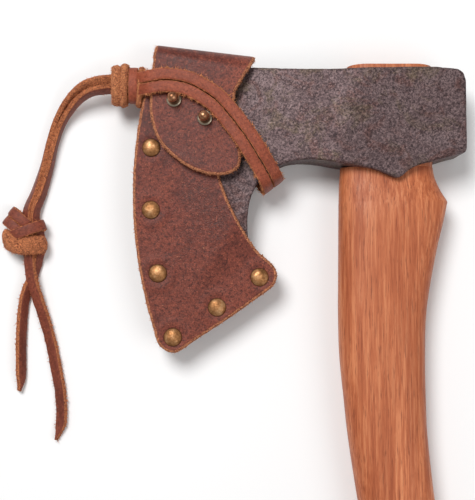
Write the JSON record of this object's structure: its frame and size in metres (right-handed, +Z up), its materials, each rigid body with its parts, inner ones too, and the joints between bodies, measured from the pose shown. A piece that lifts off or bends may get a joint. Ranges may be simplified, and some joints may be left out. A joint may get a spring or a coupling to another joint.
{
  "type": "carving hatchet",
  "caption": "Carving hatchet with a curved bearded steel head, a shaped wooden handle, a riveted leather sheath with a flap, and a knotted leather lace.",
  "frame": {"origin": "on the flat lower cheek of the head, under the centre of the eye, with the hatchet lying on its side", "axes": "+Z up through the cheeks, +X to the poll, +Y to the top of the head, with the handle running towards -Y"},
  "size_m": [0.2381, 0.3533, 0.033],
  "materials": {
    "forged_steel": "forged, dark mottled scale with a waxy sheen",
    "handle_wood": "oiled open-pored hardwood, reddish brown",
    "wedge_wood": "bare end grain",
    "sheath_leather": "oiled vegetable tanned leather, satin, dark red brown",
    "welt_leather": "raw cut edge",
    "lace_leather": "oiled grain side with a fuzzy orange flesh side",
    "rivet_brass": "domed, lightly worn",
    "stud_brass": "antique, worn bright on the ball"
  },
  "bodies": {
    "axe": {"axe_head": "forged_steel", "handle": "handle_wood", "wooden_wedge": "wedge_wood", "steel_wedge": "forged_steel"},
    "sheath": {"sheath_front": "sheath_leather", "sheath_back": "sheath_leather", "sheath_welt": "welt_leather", "flap_fold": "sheath_leather", "rivet_front_1": "rivet_brass", "rivet_front_2": "rivet_brass", "rivet_front_3": "rivet_brass", "rivet_front_4": "rivet_brass", "rivet_front_5": "rivet_brass", "rivet_front_6": "rivet_brass", "rivet_back_1": "rivet_brass", "rivet_back_2": "rivet_brass", "rivet_back_3": "rivet_brass", "rivet_back_4": "rivet_brass", "rivet_back_5": "rivet_brass", "rivet_back_6": "rivet_brass", "lace_loop_upper": "lace_leather", "lace_loop_lower": "lace_leather", "lace_strand_left": "lace_leather", "lace_strand_right": "lace_leather", "lace_end_knot": "lace_leather", "lace_tail_long": "lace_leather", "lace_tail_short": "lace_leather"},
    "flap": {"flap": "sheath_leather", "stud_1": "stud_brass", "stud_2": "stud_brass", "stud_screw_1": "stud_brass", "stud_screw_2": "stud_brass"},
    "slide_knot": {"lace_slide_knot": "lace_leather"}
  },
  "joints": [
    {"name": "sheath_off", "type": "slide", "parent": "axe", "child": "sheath", "axis": [-0.832, -0.5548, 0], "range_m": [0, 0.11], "deforming": ["flap_fold", "lace_loop_upper", "lace_loop_lower"]},
    {"name": "flap_open", "type": "hinge", "parent": "sheath", "child": "flap", "pos_m": [-0.1117, 0.0344, 0.01545], "axis": [-0.9947, 0.1028, 0], "range_deg": [0, 150], "deforming": ["flap_fold", "lace_loop_upper", "lace_loop_lower"]},
    {"name": "knot_slide", "type": "slide", "parent": "sheath", "child": "slide_knot", "axis": [-1, 0, 0], "range_m": [0, 0.01], "deforming": ["lace_strand_left", "lace_strand_right"]}
  ]
}
